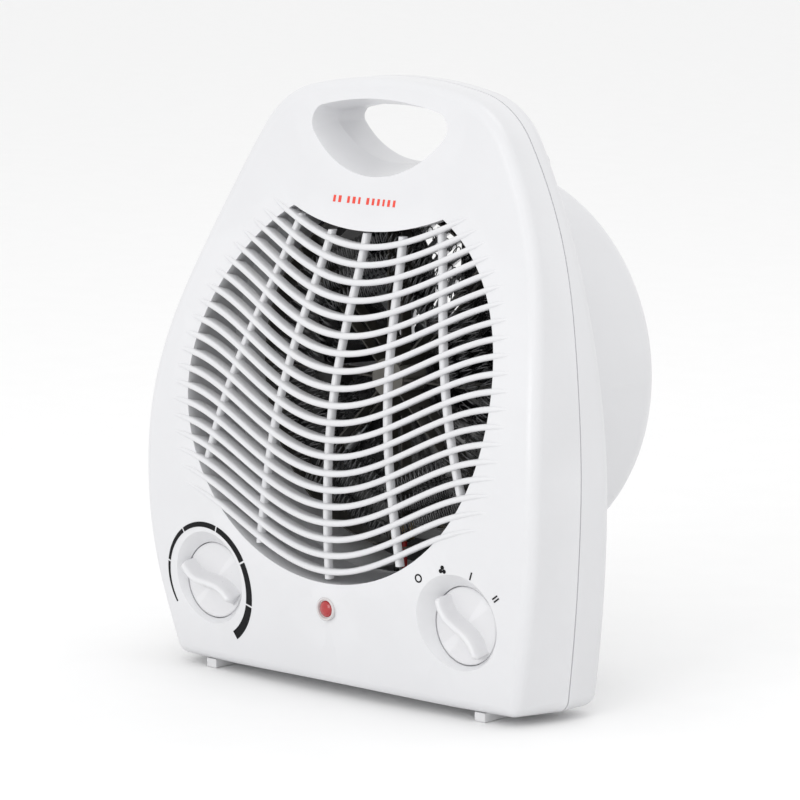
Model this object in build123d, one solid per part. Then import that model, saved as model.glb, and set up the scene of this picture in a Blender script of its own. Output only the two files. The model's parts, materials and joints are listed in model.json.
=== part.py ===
from build123d import *
import math
import os

# Fan convector heater. Millimetres, +Z up, the front faces -Y, +X is to the right of someone facing it.
# The model is laid out with Y counted back from the indicator on the front face, and every piece is
# shifted by depth_centre when it is written, so that the origin is the middle of the base at floor level.

# ---- case ----
case_top = 243.4
case_base = 3.8
wall = 2.4
edge_round = 5.0
widest_x = 104.5
widest_z = 84.0
front_foot_x = 84.0
seam_foot_x = 98.5
top_corner_x = 56.0
top_corner_z = 235.0
top_corner_round = 38.0
corner_shift_x = 0.62
corner_shift_z = 0.86
foot_corner_round = 6.0
front_plane_y = -8.0
seam_plane_y = 31.0
rear_plane_y = 75.0
depth_centre = 53.6

# side view curves as (y, z): the front face on the centre line, and the joint between the two shells
face_points = [(4.2, 6), (-0.4, 40), (-2.2, 76), (0.8, 116), (8.5, 146), (19, 176), (24.8, 196), (33, 243.4)]
seam_points = [(30.5, 0), (30.5, 90), (34.4, 138), (43, 186), (47.5, 243.4)]
face_curve = Spline((5.0, -4.0), *face_points, (34.2, 252.0))
face_crown = 4.6
back_y = 51.0
back_top_y = 62.5
back_bend_z = 105.0

# ---- carry handle ----
hole_half = 33.5
hole_low_z = 209.0
hole_side_z = 225.0
hole_top_z = 232.5
hole_top_side_z = 228.5
hole_round = 3.2
mouth_y = 43.0
mouth_draft = 14.0
mouth_front_y = 17.0

# ---- air path ----
axis_z = 124.0
outlet_half_x = 80.0
outlet_half_z = 77.5
outlet_top_z = 184.0
collar_back_y = 31.2
tunnel_back_y = 56.0
drum_front_r = 84.0
drum_rear_r = 81.5
drum_rear_y = 110.4
drum_round = 12.0
intake_r = 68.0

# ---- outlet grille ----
slat_count = 20
slat_first_z = 51.4
slat_pitch = 6.465
slat_spread = 0.0103
slat_thick = 2.5
slat_rise_low = 13.4
slat_rise_high = 14.6
slat_wave_low = 28.0
slat_wave_high = 32.5
slat_proud = 1.0
slat_depth = 4.8
rib_angles = (-17.1, -8.5, 0.0, 8.5, 17.1)
rib_centre_z = 308.5
rib_thick = 3.0
rib_set_back = 1.2
rib_depth = 4.4
tail_oval_x = 89.5
tail_oval_z = 97.0
tail_centre_z = 116.0

# ---- dials ----
dial_x = 67.5
dial_z = 37.6
dial_cup_r = 19.6
dial_cup_floor_y = 9.2
knob_r = 15.2
knob_gap = 0.6
grip_height = 7.2
spindle_r = 3.0
spindle_gap = 0.05
spindle_inset = 0.8
lens_r = 3.6
lens_z = 36.0

# ---- limits of the cutting blocks used on the case ----
half_span = 112.0
below = -4.0
above = 252.0
far_back = 140.0
back_round = 7.0
drum_wall = 2.2
seam_groove = 0.6
outlet_smile_r = 110.0
arch_rise = 1.6
arch_radius = 1400.0

# ---- fixings ----
case_screw_places = ((-86, 24), (86, 24), (-62, 212), (62, 212))
case_screw_r = 1.5
case_head_r = 3.0
duct_screw_places = ((-62, 66), (62, 66), (-78, 160), (78, 160))
duct_screw_r = 1.3
tunnel_flange_y = 31.5
tunnel_wall = 1.2
flange_top_z = 202.8
foot_x = 72.5
front_foot_y = 9.0
rear_foot_y = 34.0
inlet_x = -60.0
inlet_z = 20.0
inlet_bore_r = 3.6
bush_r = 5.4
intake_rings = 7

# ---- element ----
hub_r = 8.0
card_reach = 68.0
bracket_reach = 79.2
card_front_y = 36.5
card_back_y = 50.0
wire_first_r = 37.0
wire_pitch = 9.0
wire_turns = 3
wire_depth = 3.6

# ---- fan and motor ----
shroud_r = 69.0
shroud_back_y = 78.0
fan_r = 65.0
fan_hub_r = 15.0
fan_front_y = 58.0
fan_back_y = 73.0
fan_middle_y = 65.5
fan_blades = 7
fan_pitch = 24.0
shaft_r = 1.6
rotor_r = 11.0
core_front_y = 81.0
core_back_y = 97.0
motor_back_y = 101.4
motor_screw_r = 1.4
bearing_r = 4.5

# ---- knobs ----
dial_cup_floor_r = 15.7
dial_cup_step_y = 6.4
dial_cup_taper = 40.0
knob_face_y = 6.3
grip_width = 4.4
grip_bow = 0.125
thermostat_rest = -64.0
selector_rest = -42.0
spindle_back_y = 20.0
lead_r = 1.1


def upright(y):
    """A plane facing the front at depth y, with its own Y axis pointing up."""
    return Plane(origin=(0, y, 0), x_dir=(1, 0, 0), z_dir=(0, -1, 0))


def deep(shape, front, back):
    """A sketch drawn as seen from the front, filled from one depth to another."""
    return extrude(upright(front) * shape, amount=-(back - front))


def disc(radius, x, z, front, back):
    """A round bar along Y."""
    return deep(Pos(x, z) * Circle(radius), front, back)


def ring(outer, inner, x, z, front, back):
    """A tube along Y."""
    return deep(Pos(x, z) * (Circle(outer) - Circle(inner)), front, back)


def block(x, y, z):
    """A box from its lowest and highest value on each axis."""
    return Pos((x[0] + x[1]) / 2, (y[0] + y[1]) / 2, (z[0] + z[1]) / 2) * Box(x[1] - x[0], y[1] - y[0], z[1] - z[0])


# ---------------------------------------------------------------- case shape
def outline(foot_x, inset):
    """The case as seen from the front: arched top, bulging sides and a flat base."""
    tilt = 2 * math.atan((widest_x - foot_x) / (widest_z - case_base))
    low = (foot_x - inset * (1 - math.sin(tilt)) / math.cos(tilt), case_base + inset)
    wide = (widest_x - inset, widest_z)
    corner = (top_corner_x - corner_shift_x * inset, top_corner_z - corner_shift_z * inset)
    side_low = TangentArc(wide, low, tangent=(0, -1))
    side_high = TangentArc(wide, corner, tangent=(0, 1))
    top = ThreePointArc(corner, (0, case_top - inset), (-corner[0], corner[1]))
    base = Line(low, (-low[0], low[1]))
    left_low = side_low.mirror(Plane.YZ)
    left_high = side_high.mirror(Plane.YZ)
    shape = make_face([side_low, side_high, top, left_high, left_low, base])
    top_corners = [v for v in shape.vertices() if abs(v.Y - corner[1]) < 0.1]
    shape = fillet(top_corners, top_corner_round - inset)
    foot_corners = shape.vertices().group_by(Axis.Y)[0]
    return fillet(foot_corners, foot_corner_round - inset)


def face_section(x, inset):
    """The region behind the front face, in the upright plane at x."""
    set_back = face_crown * (x / 100) ** 2 + inset
    points = [(x, y + set_back, z) for y, z in face_points]
    first = (x, points[0][1] + 0.8, below)
    last = (x, points[-1][1] + 1.2, above)
    curve = Spline(first, *points, last)
    rest = Polyline(last, (x, far_back, above), (x, far_back, below), first)
    return make_face([curve, rest])


def behind_face(inset):
    """A solid that fills the space behind the front face."""
    return loft([face_section(x, inset) for x in (-half_span, 0, half_span)])


def behind_seam():
    """The space behind the joint between the two shells."""
    first = (0, seam_points[0][0], below)
    last = (0, seam_points[-1][0] + 0.3, above)
    curve = Spline(first, *[(0, y, z) for y, z in seam_points[1:]], last)
    rest = Polyline(last, (0, far_back, above), (0, far_back, below), first)
    return extrude(make_face([curve, rest]), amount=half_span, both=True)


def before_back(inset):
    """The space in front of the back of the case, which leans back towards the handle."""
    foot = (0, back_y - inset, below)
    bend = (0, back_y - inset, back_bend_z)
    top = (0, back_top_y - inset, above)
    rise = Line(foot, bend)
    lean = TangentArc(bend, top, tangent=(0, 0, 1))
    rest = Polyline(top, (0, -40, above), (0, -40, below), foot)
    return extrude(make_face([rise, lean, rest]), amount=half_span, both=True)


def case_body(inset):
    """The filled case, with every wall moved in by the inset."""
    front = outline(front_foot_x, inset)
    seam = outline(seam_foot_x, inset)
    forward = loft([upright(front_plane_y) * front, upright(seam_plane_y) * seam], ruled=True)
    rearward = loft([upright(seam_plane_y) * seam, upright(rear_plane_y) * seam], ruled=True)
    return (forward + rearward) & behind_face(inset) & before_back(inset)


def rounded_case():
    """The outside of the case with its front and back edges rounded."""
    body = case_body(0)
    face = body.faces().sort_by(Axis.Y)[0]
    body = fillet(face.edges(), edge_round)
    back_faces = [f for f in body.faces() if f.center().Y > back_y - 0.5 and f.area > 3000]
    middles = [e @ 0.5 for f in back_faces for e in f.edges()]
    rim = []
    for edge in body.edges():
        shared = sum(1 for m in middles if (m - edge @ 0.5).length < 0.01)
        if shared == 1:
            rim.append(edge)
    return fillet(rim, back_round)


def hole_outline(grow):
    """The hand hole as seen from the front, wider than it is high, with a sagging lower edge."""
    low = ThreePointArc((-hole_half, hole_side_z), (0, hole_low_z), (hole_half, hole_side_z))
    right = Line((hole_half, hole_side_z), (hole_half - 2, hole_top_side_z))
    top = ThreePointArc((hole_half - 2, hole_top_side_z), (0, hole_top_z), (2 - hole_half, hole_top_side_z))
    left = Line((2 - hole_half, hole_top_side_z), (-hole_half, hole_side_z))
    shape = make_face([low, right, top, left])
    shape = fillet(shape.vertices(), hole_round)
    if grow:
        shape = offset(shape, grow)
    return shape


def hole_mouth(grow):
    """The front half of the hand hole, which opens wider towards the face."""
    depth = mouth_y - mouth_front_y
    return extrude(upright(mouth_y) * hole_outline(grow), amount=depth, taper=-mouth_draft)


def outlet_outline(grow):
    """The air outlet: an ellipse whose top is cut by an upward curve, as the slats are."""
    oval = Pos(0, axis_z) * Ellipse(outlet_half_x + grow, outlet_half_z + grow)
    smile = Pos(0, outlet_top_z + outlet_smile_r + grow) * Circle(outlet_smile_r)
    return oval - smile


def drum(inset, front):
    """The round intake drum as a solid of revolution about the fan axis, slightly tapered to the back."""
    bend_y = drum_rear_y - drum_round
    slope = (drum_front_r - drum_rear_r) / (bend_y - back_y)
    end = drum_rear_y - inset
    turn = drum_round - inset
    rear = drum_rear_r - inset
    outer = rear + slope * (bend_y - front)
    start = Line((outer, front), (rear, bend_y))
    bend = TangentArc((rear, bend_y), (rear - turn, end), tangent=(-slope, 1))
    rest = Polyline((rear - turn, end), (0, end), (0, front), (outer, front))
    turned = revolve(make_face([start, bend, rest]), Axis.Y, 360)
    return Pos(0, 0, axis_z) * turned


def case_shell(seam_space):
    """Both shells in one piece, before they are parted: walls, tunnel of the hand hole and intake drum."""
    shell = rounded_case() - case_body(wall)
    skin = case_body(0.6)
    tunnel = (deep(hole_outline(wall), -20, 100) & skin) + (hole_mouth(wall) & skin)
    shell = shell + tunnel - deep(hole_outline(0), -20, 100) - hole_mouth(0)
    shell = shell + drum(0, back_y - 2)
    shell = shell - (drum(drum_wall, 30) & seam_space)
    return shell - disc(intake_r, 0, axis_z, drum_rear_y - drum_wall - 1, drum_rear_y + 1)


# ---------------------------------------------------------------- shells
def dial_places():
    """The two dial centres, left then right."""
    return ((-dial_x, dial_z), (dial_x, dial_z))


def front_housing(shell, seam_space):
    """The front shell with its outlet collar, dial cups, lamp hole and fixing posts."""
    case = case_body(0.6)
    part = shell - seam_space
    collar = deep(outlet_outline(wall) - outlet_outline(0), -20, collar_back_y) & case
    part = part + collar
    part = part - deep(outlet_outline(0), -20, collar_back_y + 1)
    for x, z in dial_places():
        cup = disc(dial_cup_r + wall, x, z, -10, dial_cup_floor_y + wall) & case
        bowl = extrude(upright(dial_cup_step_y) * (Pos(x, z) * Circle(dial_cup_floor_r)), amount=20,
                       taper=-dial_cup_taper)
        part = part + cup - bowl - disc(dial_cup_floor_r, x, z, dial_cup_step_y - 1, dial_cup_floor_y)
        part = part - disc(spindle_r + 0.6, x, z, 0, 20)
    part = part - disc(lens_r, 0, lens_z, -10, 20)
    lens_boss = ring(lens_r + 2.0, lens_r, 0, lens_z, 0, 6.0) & case
    part = part + lens_boss
    for x, z in duct_screw_places:
        post = disc(3.2, x, z, -10, tunnel_flange_y) & case
        part = part + post - disc(duct_screw_r, x, z, tunnel_flange_y - 8, tunnel_flange_y + 1)
    for x, z in case_screw_places:
        post = (disc(3.6, x, z, -10, 60) & case) - seam_space
        seam_y = seam_depth(z)
        part = part + post - disc(case_screw_r, x, z, seam_y - 12, seam_y + 10)
    for x in (-foot_x, foot_x):
        part = part - block((x - 1, x + 1), (front_foot_y + 4, front_foot_y + 11), (case_base - 1, case_base + 5))
    arch = Pos(0, front_plane_y + 15, case_base) * Rot(90, 0, 0) * Cylinder(arch_radius, 40)
    arch = Pos(0, 0, -arch_radius + arch_rise) * arch
    return part - arch


def seam_depth(z):
    """The depth of the joint between the shells at a height, from its side-view curve."""
    for (y0, z0), (y1, z1) in zip(seam_points, seam_points[1:]):
        if z <= z1:
            return y0 + (y1 - y0) * (z - z0) / (z1 - z0)
    return seam_points[-1][0]


def rear_housing(shell, seam_space):
    """The rear shell with the intake drum, screw tubes, cord inlet and the fine groove along its joint."""
    case = case_body(0.6)
    part = shell & seam_space
    for x, z in case_screw_places:
        tube = (disc(4.6, x, z, 20, 80) & case) & seam_space
        part = part + tube - disc(case_screw_r + 0.4, x, z, 20, 90)
        part = part - disc(case_head_r + 0.3, x, z, seam_depth(z) + 8, 90)
    part = part - disc(bush_r, inlet_x, inlet_z, 40, 60)
    groove = seam_space - Pos(0, seam_groove, 0) * seam_space - case
    part = part - groove
    for x in (-foot_x, foot_x):
        part = part - block((x - 1, x + 1), (rear_foot_y + 4, rear_foot_y + 11), (case_base - 1, case_base + 5))
    return part


def intake_grille():
    """The round guard on the back of the drum: rings on spokes, with a disc that carries the motor."""
    y0, y1 = drum_rear_y - 3.0, drum_rear_y
    part = ring(intake_r, intake_r - 2.5, 0, axis_z, y0, y1)
    part = part + disc(18, 0, axis_z, y0, y1)
    for k in range(intake_rings):
        radius = 23.5 + k * 6.0
        part = part + ring(radius + 1.1, radius - 1.1, 0, axis_z, y0 + 0.6, y1)
    for k in range(8):
        spoke = block((16, intake_r - 1), (y0, y1 - 0.4), (-1.2, 1.2))
        part = part + Pos(0, 0, axis_z) * Rot(0, 45 * k + 22.5, 0) * spoke
    for x, z in core_bolt_places():
        part = part + disc(3.4, x, z, motor_back_y, y1 - 1) - disc(motor_screw_r, x, z, motor_back_y - 1, y1 - 1.5)
    return part


def cord_inlet_bush():
    """A flanged rubber bush in the back wall, where a supply cord would come in."""
    part = ring(bush_r, inlet_bore_r, inlet_x, inlet_z, back_y - wall - 2.0, back_y + 1.6)
    flange = ring(bush_r + 1.8, inlet_bore_r, inlet_x, inlet_z, back_y, back_y + 1.6)
    inner = ring(bush_r + 1.4, inlet_bore_r, inlet_x, inlet_z, back_y - wall - 2.0, back_y - wall)
    return part + flange + inner


def feet():
    """Four narrow blocks under the case, each with a tongue pushed up into the base."""
    pads = []
    for y in (front_foot_y, rear_foot_y):
        for x in (-foot_x, foot_x):
            pad = block((x - 2.6, x + 2.6), (y, y + 15), (0, case_base))
            pad = fillet(pad.edges().group_by(Axis.Z)[0], 0.8)
            tongue = block((x - 1, x + 1), (y + 4, y + 11), (case_base - 0.5, case_base + 4))
            pads.append(pad + tongue)
    return Compound(children=pads)


def screw(radius, head_r, x, z, tip_y, head_y):
    """A pan-head screw along Y, its head towards the back."""
    shank = disc(radius, x, z, tip_y, head_y)
    head = disc(head_r, x, z, head_y, head_y + 2.0)
    head = fillet(head.edges().group_by(Axis.Y)[-1], 0.7)
    slot = block((x - 1.6, x + 1.6), (head_y + 1.2, head_y + 3), (z - 0.35, z + 0.35))
    cross = block((x - 0.35, x + 0.35), (head_y + 1.2, head_y + 3), (z - 1.6, z + 1.6))
    return shank + head - slot - cross


def case_screws():
    """Four screws that join the shells from behind."""
    return Compound(children=[screw(case_screw_r, case_head_r, x, z, seam_depth(z) - 10, seam_depth(z) + 8)
                              for x, z in case_screw_places])


def duct_screws():
    """Four screws that hold the tunnel flange to the front shell."""
    back = tunnel_flange_y + 2.0
    return Compound(children=[screw(duct_screw_r, 2.6, x, z, back - 8, back) for x, z in duct_screw_places])


# ---------------------------------------------------------------- outlet grille
def face_depth(x, z):
    """The depth of the front face at a point seen from the front."""
    low, high = 0.0, 1.0
    for _ in range(30):
        middle = (low + high) / 2
        if (face_curve @ middle).Y < z:
            low = middle
        else:
            high = middle
    return (face_curve @ low).X + face_crown * (x / 100) ** 2


def slat_height(index, x):
    """The height of a slat at x: lowest in the middle, then rising and levelling out at the sides."""
    share = (index / (slat_count - 1)) ** 3
    wave = slat_wave_low + (slat_wave_high - slat_wave_low) * share
    rise = slat_rise_low + (slat_rise_high - slat_rise_low) * share
    middle_z = slat_first_z + slat_pitch * index + slat_spread * index ** 2
    return middle_z + rise * (1 - math.cos(x / wave))


def slat_reach(index, half_x, half_z, centre_z):
    """How far a slat runs sideways before it crosses an oval."""
    x = 0
    while (x / half_x) ** 2 + ((slat_height(index, x) - centre_z) / half_z) ** 2 < 1:
        x = x + 0.1
    return x


def strip(index, stations):
    """A loft along one slat; each station is (x, front, back, half height), measured from the face."""
    sections = []
    for x, front, back, half in stations:
        z = slat_height(index, x)
        y = face_depth(x, z)
        corners = ((x, y + front, z - half), (x, y + back, z - half), (x, y + back, z + half), (x, y + front, z + half))
        sections.append(make_face(Polyline(*corners, close=True)))
    return loft(sections)


def outlet_grille():
    """Wavy slats on five spreading ribs; the ends of the slats run out over the face and fade away."""
    half = slat_thick / 2
    slats = []
    tails = []
    for index in range(slat_count):
        reach = slat_reach(index, outlet_half_x - 1.5, outlet_half_z - 1.5, axis_z)
        tail_length = slat_reach(index, tail_oval_x, tail_oval_z, tail_centre_z) - reach
        stations = [(reach * k / 5, -slat_proud, slat_depth, half) for k in range(-5, 6)]
        slats.append(strip(index, stations))
        for side in (-1, 1):
            tail = []
            for share in (0, 0.35, 0.7, 1):
                x = side * (reach + tail_length * share)
                tail.append((x, -slat_proud * (1 - 0.8 * share ** 2), 0, half - 0.55 * share ** 2))
            tails.append(strip(index, tail))
    inside = deep(outlet_outline(-0.15), -30, 60)
    ribs = []
    for angle in rib_angles:
        rib = block((-rib_thick / 2, rib_thick / 2), (-20, 45), (40 - rib_centre_z, 200 - rib_centre_z))
        ribs.append(Pos(0, 0, rib_centre_z) * Rot(0, angle, 0) * rib)
    frame = ribs[0] + ribs[1:]
    frame = (frame & inside & behind_face(rib_set_back)) - behind_face(rib_depth)
    bars = frame.solids()
    return bars[0].fuse(*bars[1:], *slats, *tails)


# ---------------------------------------------------------------- air path
def air_tunnel():
    """The pale tunnel behind the grille that the element sits in, with a flange, four ears and a slot for the leads."""
    tube = deep(outlet_oval(tunnel_wall) - outlet_oval(0), tunnel_flange_y, tunnel_back_y)
    flange = outlet_oval(3.4)
    for x, z in duct_screw_places:
        flange = flange + Pos(x, z) * Circle(4.2)
        away = math.degrees(math.atan2(z - axis_z, x))
        flange = flange + Pos(x, z) * Rot(0, 0, away) * Pos(-12, 0) * Rectangle(24, 8.4)
    flange = flange - outlet_oval(0) - Pos(0, flange_top_z + 5) * Rectangle(100, 10)
    for x, z in duct_screw_places:
        flange = flange - Pos(x, z) * Circle(duct_screw_r + 0.2)
    tunnel = tube + deep(flange, tunnel_flange_y, tunnel_flange_y + 2.0)
    return tunnel - block((-8, 8), (card_front_y - 2, card_back_y - 1), (axis_z - 90, axis_z - 70))


def outlet_oval(grow):
    """The outlet ellipse without its cut top."""
    return Pos(0, axis_z) * Ellipse(outlet_half_x + grow, outlet_half_z + grow)


def fan_shroud():
    """The black ring round the fan, on a plate that closes the back of the tunnel."""
    plate = deep(outlet_oval(tunnel_wall) - Pos(0, axis_z) * Circle(shroud_r), tunnel_back_y, tunnel_back_y + 1.8)
    tube = ring(shroud_r + 1.6, shroud_r, 0, axis_z, tunnel_back_y, shroud_back_y)
    lip = ring(shroud_r + 1.6, shroud_r - 1.2, 0, axis_z, tunnel_back_y, tunnel_back_y + 1.8)
    return plate + tube + lip


# ---------------------------------------------------------------- heating element
def radial(shape, degrees):
    """Turn a piece about the fan axis."""
    return Pos(0, 0, axis_z) * Rot(0, degrees, 0) * shape


def mica_cards():
    """Eight thin cards standing like spokes between the hub and the tunnel wall."""
    cards = []
    for k in range(8):
        card = block((hub_r, card_reach), (card_front_y, card_back_y), (-0.4, 0.4))
        window = block((hub_r + 8, card_reach - 10), (card_front_y + 5.5, card_back_y - 5.5), (-1, 1))
        cards.append(radial(card - window, 45 * k))
    return Compound(children=cards)


def element_hub():
    """The ceramic hub in the middle of the element."""
    hub = disc(hub_r, 0, axis_z, card_front_y - 0.5, card_back_y + 0.5)
    return hub - disc(2.2, 0, axis_z, card_front_y - 2, card_back_y + 2)


def mica_band():
    """The mica strip bent round the cards, with a gap at the terminals."""
    band = ring(card_reach + 0.8, card_reach + 0.05, 0, axis_z, card_front_y + 1, card_back_y - 1)
    return band - block((-7, 7), (card_front_y - 1, card_back_y + 1), (axis_z - 75, axis_z - 50))


def band_brackets():
    """Four small steel angles that hold the mica band inside the tunnel."""
    pieces = []
    for degrees in (22.5, 157.5, 202.5, 337.5):
        foot = block((card_reach + 0.8, card_reach + 1.6), (card_front_y + 3, card_back_y - 3), (-4, 4))
        arm = block((card_reach + 1.6, bracket_reach), (card_back_y - 4, card_back_y - 3), (-4, 4))
        pieces.append(radial(foot + arm, degrees))
    return Compound(children=pieces)


def spiral_wire(first_r, pitch, turns, y0, y1, start):
    """A flat eight-sided spiral of heating wire resting on the cards, one straight run from card to card."""
    points = []
    for k in range(turns * 8 + 1):
        angle = math.radians(45 * k + start)
        radius = first_r + pitch * k / 8
        points.append((radius * math.cos(angle), axis_z + radius * math.sin(angle)))
    path = Polyline(*points)
    return deep(trace(path, line_width=0.9), y0, y1)


def low_heat_wire():
    """The wire of the first heat setting, on the front edges of the cards."""
    return spiral_wire(wire_first_r, wire_pitch, wire_turns, card_front_y - wire_depth, card_front_y, 0)


def high_heat_wire():
    """The wire of the second heat setting, on the back edges of the cards."""
    return spiral_wire(wire_first_r, wire_pitch, wire_turns, card_back_y, card_back_y + wire_depth, 180)


def thermal_cutout():
    """The resettable overheat switch, a small can standing on one card."""
    body = block((30, 42), (card_front_y + 1, card_front_y + 12), (0.4, 5.4))
    cap = Pos(36, card_front_y + 6.5, 5.4) * Cylinder(4.6, 3.0, align=(Align.CENTER, Align.CENTER, Align.MIN))
    return radial(body + cap, 180)


def thermal_fuse():
    """The one-shot fuse, a small barrel lying on the next card."""
    barrel = Pos(38, card_front_y + 8, 2.4) * Rot(0, 90, 0) * Cylinder(2.0, 11)
    legs = Pos(38, card_front_y + 8, 2.4) * Rot(0, 90, 0) * Cylinder(0.5, 19)
    return radial(barrel + legs, 135)


def element_terminals():
    """Three brass tabs riveted through the lowest card."""
    tabs = []
    for k in range(3):
        y = card_front_y + 3 + 5 * k
        tab = block((card_reach - 8, card_reach - 1), (y - 1.6, y + 1.6), (0.4, 1.0))
        rivet = Pos(card_reach - 5.5, y, 1.0) * Cylinder(1.0, 0.8, align=(Align.CENTER, Align.CENTER, Align.MIN))
        tabs.append(radial(tab + rivet, 90))
    return Compound(children=tabs)


# ---------------------------------------------------------------- fan and motor
def fan():
    """A seven-bladed axial fan moulded round its hub."""
    hub = disc(fan_hub_r, 0, axis_z, fan_front_y, fan_back_y)
    hub = fillet(hub.edges().group_by(Axis.Y)[0], 3.0)
    reach = ring(fan_r, fan_hub_r - 1, 0, axis_z, fan_front_y - 2, fan_back_y + 1)
    part = hub
    for k in range(fan_blades):
        blade = Pos((fan_r + fan_hub_r) / 2, fan_middle_y, 0) * Rot(fan_pitch, 0, 0) * Box(fan_r, 1.8, 37)
        part = part + (radial(blade, 360 / fan_blades * k) & reach)
    part = part - disc(shaft_r, 0, axis_z, fan_front_y - 5, fan_back_y + 5)
    return part


def fan_clip():
    """The spring clip that keeps the fan on the shaft."""
    return ring(4.5, shaft_r, 0, axis_z, fan_front_y - 1.2, fan_front_y)


def motor_shaft():
    """The shaft through the rotor and the fan."""
    return disc(shaft_r, 0, axis_z, fan_front_y - 3.0, motor_back_y - 0.6)


def rotor():
    """The squirrel-cage rotor on the shaft."""
    return ring(rotor_r, shaft_r, 0, axis_z, core_front_y, core_back_y)


def motor_core():
    """The laminated core: a bore for the rotor, a window for the winding and the leg below it."""
    shape = Pos(0, axis_z - 12) * RectangleRounded(50, 60, 3)
    shape = shape - Pos(0, axis_z) * Circle(rotor_r + 0.35)
    shape = shape - Pos(0, axis_z - 25) * Rectangle(30, 17)
    for x, z in core_bolt_places():
        shape = shape - Pos(x, z) * Circle(motor_screw_r)
    return deep(shape, core_front_y, core_back_y)


def core_bolt_places():
    """The bolts at the four corners of the core."""
    return [(sx * 20, axis_z + dz) for sx in (-1, 1) for dz in (-27, 13)]


def motor_bobbin():
    """The bobbin round the lower leg of the core."""
    middle = axis_z - 37.75
    y0, y1 = core_front_y, core_back_y
    tube = block((-14, 14), (y0 - 1.2, y1 + 1.2), (middle - 5.45, middle + 5.45))
    cheeks = None
    for x in (-14, 12.8):
        cheek = block((x, x + 1.2), (y0 - 4.6, y1 + 4.6), (middle - 9.6, middle + 9.6))
        cheeks = cheek if cheeks is None else cheeks + cheek
    core = block((-20, 20), (y0, y1), (middle - 4.25, middle + 4.25))
    return tube + cheeks - core


def motor_winding():
    """The copper winding on the bobbin, wrapped in tape."""
    middle = axis_z - 37.75
    y0, y1 = core_front_y, core_back_y
    outer = block((-12.8, 12.8), (y0 - 4.2, y1 + 4.2), (middle - 9.0, middle + 9.0))
    inner = block((-14, 14), (y0 - 1.2, y1 + 1.2), (middle - 5.45, middle + 5.45))
    outer = fillet(outer.edges().filter_by(Axis.X), 2.0)
    return outer - inner


def bracket(face_y, away, bearing_y):
    """A stamped bridge across the core that carries a bearing."""
    lo, hi = sorted((face_y, face_y + away * 1.4))
    shape = Pos(0, axis_z + 2) * RectangleRounded(48, 14, 3)
    for sx in (-1, 1):
        shape = shape + Pos(sx * 20, axis_z - 7) * RectangleRounded(8, 47, 3)
    shape = shape - Pos(0, axis_z) * Circle(bearing_r)
    for x, z in core_bolt_places():
        shape = shape - Pos(x, z) * Circle(motor_screw_r)
    plate = deep(shape, lo, hi)
    low, high = sorted((face_y, bearing_y))
    cup = ring(bearing_r + 1.4, bearing_r, 0, axis_z, low, high)
    return plate + cup


def front_bracket():
    """The bearing bridge on the fan side."""
    return bracket(core_front_y, -1, core_front_y - 4.0)


def back_bracket():
    """The bearing bridge on the intake side."""
    return bracket(core_back_y, 1, core_back_y + 4.0)


def bearings():
    """A sintered bush in each bracket."""
    front = ring(bearing_r, shaft_r + 0.04, 0, axis_z, core_front_y - 4.0, core_front_y - 0.3)
    back = ring(bearing_r, shaft_r + 0.04, 0, axis_z, core_back_y + 0.3, core_back_y + 4.0)
    return Compound(children=[front, back])


def motor_bolts():
    """Four long bolts through the brackets and the core into the posts of the intake guard."""
    bolts = []
    for x, z in core_bolt_places():
        shank = disc(motor_screw_r, x, z, core_front_y - 1.4, motor_back_y + 5)
        head = disc(2.8, x, z, core_front_y - 3.4, core_front_y - 1.4)
        bolts.append(shank + head)
    return Compound(children=bolts)


# ---------------------------------------------------------------- controls
def grip_shape():
    """The S-shaped grip as seen from the front with its tip up: it bows left above the middle, right below."""
    bow = knob_r * grip_bow
    path = Spline((0, knob_r * 1.1), (-bow, knob_r * 0.5), (bow, -knob_r * 0.5), (0, -knob_r * 1.1))
    return trace(path, line_width=grip_width)


def knob(x, z, turn):
    """A round dial with a raised S-shaped grip and a hub for the spindle."""
    base = disc(knob_r, 0, 0, knob_face_y, dial_cup_floor_y - knob_gap)
    base = fillet(base.edges().group_by(Axis.Y)[0], 0.8)
    grip = deep(grip_shape(), knob_face_y - grip_height, knob_face_y + 0.5)
    grip = grip & disc(knob_r - 0.3, 0, 0, knob_face_y - grip_height - 1, knob_face_y + 1)
    part = base + grip
    part = part - disc(spindle_r, 0, 0, knob_face_y + spindle_inset, dial_cup_floor_y + 5)
    return Pos(x, 0, z) * Rot(0, turn, 0) * part


def thermostat_knob():
    """The left dial."""
    return knob(-dial_x, dial_z, thermostat_rest)


def selector_knob():
    """The right dial."""
    return knob(dial_x, dial_z, selector_rest)


def spindle(x, turn, inner_y):
    """A D-shaped metal spindle from the knob into its switch."""
    rod = disc(spindle_r, 0, 0, knob_face_y + spindle_inset, inner_y)
    rod = rod + disc(spindle_r + 2.0, 0, 0, inner_y - 1.5, inner_y)
    return Pos(x, 0, dial_z) * Rot(0, turn, 0) * rod


def thermostat_spindle():
    """The left spindle."""
    return spindle(-dial_x, thermostat_rest, spindle_back_y)


def selector_spindle():
    """The right spindle."""
    return spindle(dial_x, selector_rest, spindle_back_y)


def control_body(x, width, height, back):
    """A control case behind the front wall, hollow round the inner end of its spindle."""
    y0 = dial_cup_floor_y + wall
    part = block((x - width / 2, x + width / 2), (y0, back), (dial_z - height / 2, dial_z + height / 2))
    part = fillet(part.edges().filter_by(Axis.Y), 2.5)
    part = part - disc(spindle_r + spindle_gap, x, dial_z, y0 - 1, y0 + 4)
    return part - disc(spindle_r + 2.4, x, dial_z, y0 + 3, spindle_back_y + 0.6)


def rotary_switch():
    """The four-position heat selector switch."""
    part = control_body(dial_x, 30, 24, 30)
    for k in range(4):
        x = dial_x - 10.5 + 7 * k
        part = part + block((x - 2.2, x + 2.2), (30, 36), (dial_z - 0.4, dial_z + 0.4))
    return part


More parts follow.
